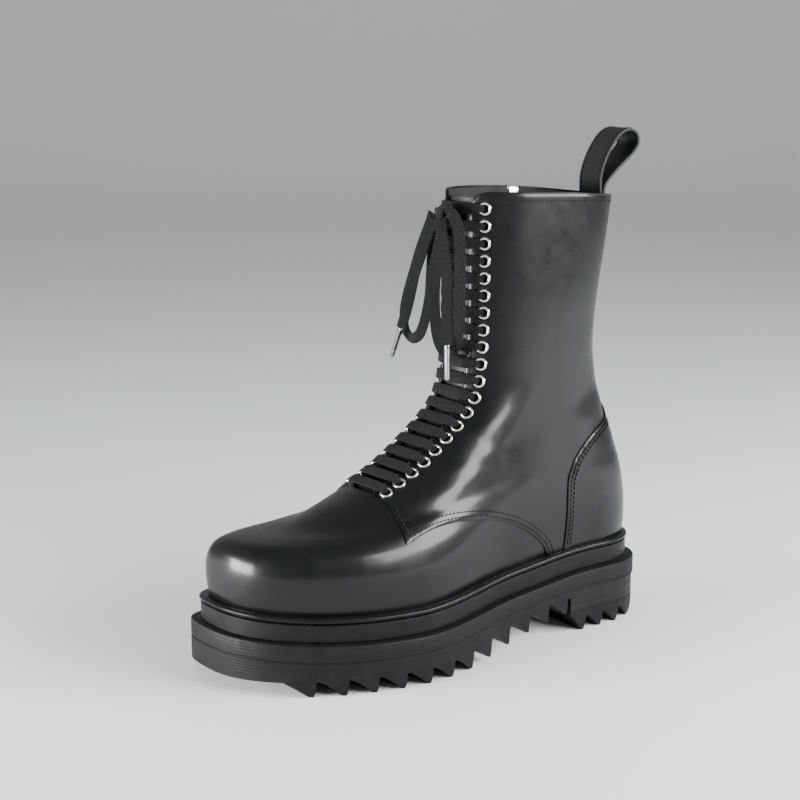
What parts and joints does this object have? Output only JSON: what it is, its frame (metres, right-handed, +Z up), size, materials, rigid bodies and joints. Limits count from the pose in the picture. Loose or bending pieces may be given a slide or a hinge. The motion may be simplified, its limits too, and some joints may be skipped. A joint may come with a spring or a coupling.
{
  "type": "platform boot",
  "caption": "Left platform ankle boot with a saw-tooth lug sole, block heel, bar lacing with a bow, side zip and heel pull loop.",
  "frame": {"origin": "on the ground under the middle of the boot's box without its bow", "axes": "+Z up, toe towards -Y, lateral side (the wearer's left) towards +X"},
  "size_m": [0.119, 0.3168, 0.3265],
  "materials": {
    "leather": "glossy black",
    "lining": "dark lining",
    "rubber": "matte black",
    "stack": "satin black",
    "band": "satin black",
    "bead": "polished black",
    "lace": "flat woven black",
    "zip": "black tape and chain",
    "metal": "polished silver"
  },
  "bodies": {
    "boot": {"outsole": "rubber", "heel": "stack", "heel_toplift": "rubber", "midsole": "band", "welt": "bead", "insole": "lining", "upper": "leather", "tongue": "leather", "pull_loop": "leather", "lace_bars": "lace", "lace_knot": "lace", "lace_loop_lateral": "lace", "lace_loop_medial": "lace", "lace_end_lateral": "lace", "lace_end_medial": "lace", "aglet_lateral": "metal", "aglet_medial": "metal", "zip_tape": "zip", "zip_slider": "metal", "eyelet_lateral_01": "metal", "eyelet_lateral_02": "metal", "eyelet_lateral_03": "metal", "eyelet_lateral_04": "metal", "eyelet_lateral_05": "metal", "eyelet_lateral_06": "metal", "eyelet_lateral_07": "metal", "eyelet_lateral_08": "metal", "eyelet_lateral_09": "metal", "eyelet_lateral_10": "metal", "eyelet_lateral_11": "metal", "eyelet_lateral_12": "metal", "eyelet_lateral_13": "metal", "eyelet_lateral_14": "metal", "eyelet_lateral_15": "metal", "eyelet_lateral_16": "metal", "eyelet_lateral_17": "metal", "eyelet_lateral_18": "metal", "eyelet_lateral_19": "metal", "eyelet_lateral_20": "metal", "eyelet_medial_01": "metal", "eyelet_medial_02": "metal", "eyelet_medial_03": "metal", "eyelet_medial_04": "metal", "eyelet_medial_05": "metal", "eyelet_medial_06": "metal", "eyelet_medial_07": "metal", "eyelet_medial_08": "metal", "eyelet_medial_09": "metal", "eyelet_medial_10": "metal", "eyelet_medial_11": "metal", "eyelet_medial_12": "metal", "eyelet_medial_13": "metal", "eyelet_medial_14": "metal", "eyelet_medial_15": "metal", "eyelet_medial_16": "metal", "eyelet_medial_17": "metal", "eyelet_medial_18": "metal", "eyelet_medial_19": "metal", "eyelet_medial_20": "metal"},
    "zip_tab": {"zip_pull": "metal"}
  },
  "joints": [
    {"name": "zip_tab_swing", "type": "hinge", "parent": "boot", "child": "zip_tab", "pos_m": [-0.04018, 0.08704, 0.2821], "axis": [0.1004, 0.9915, -0.0831], "range_deg": [0, 150]}
  ]
}
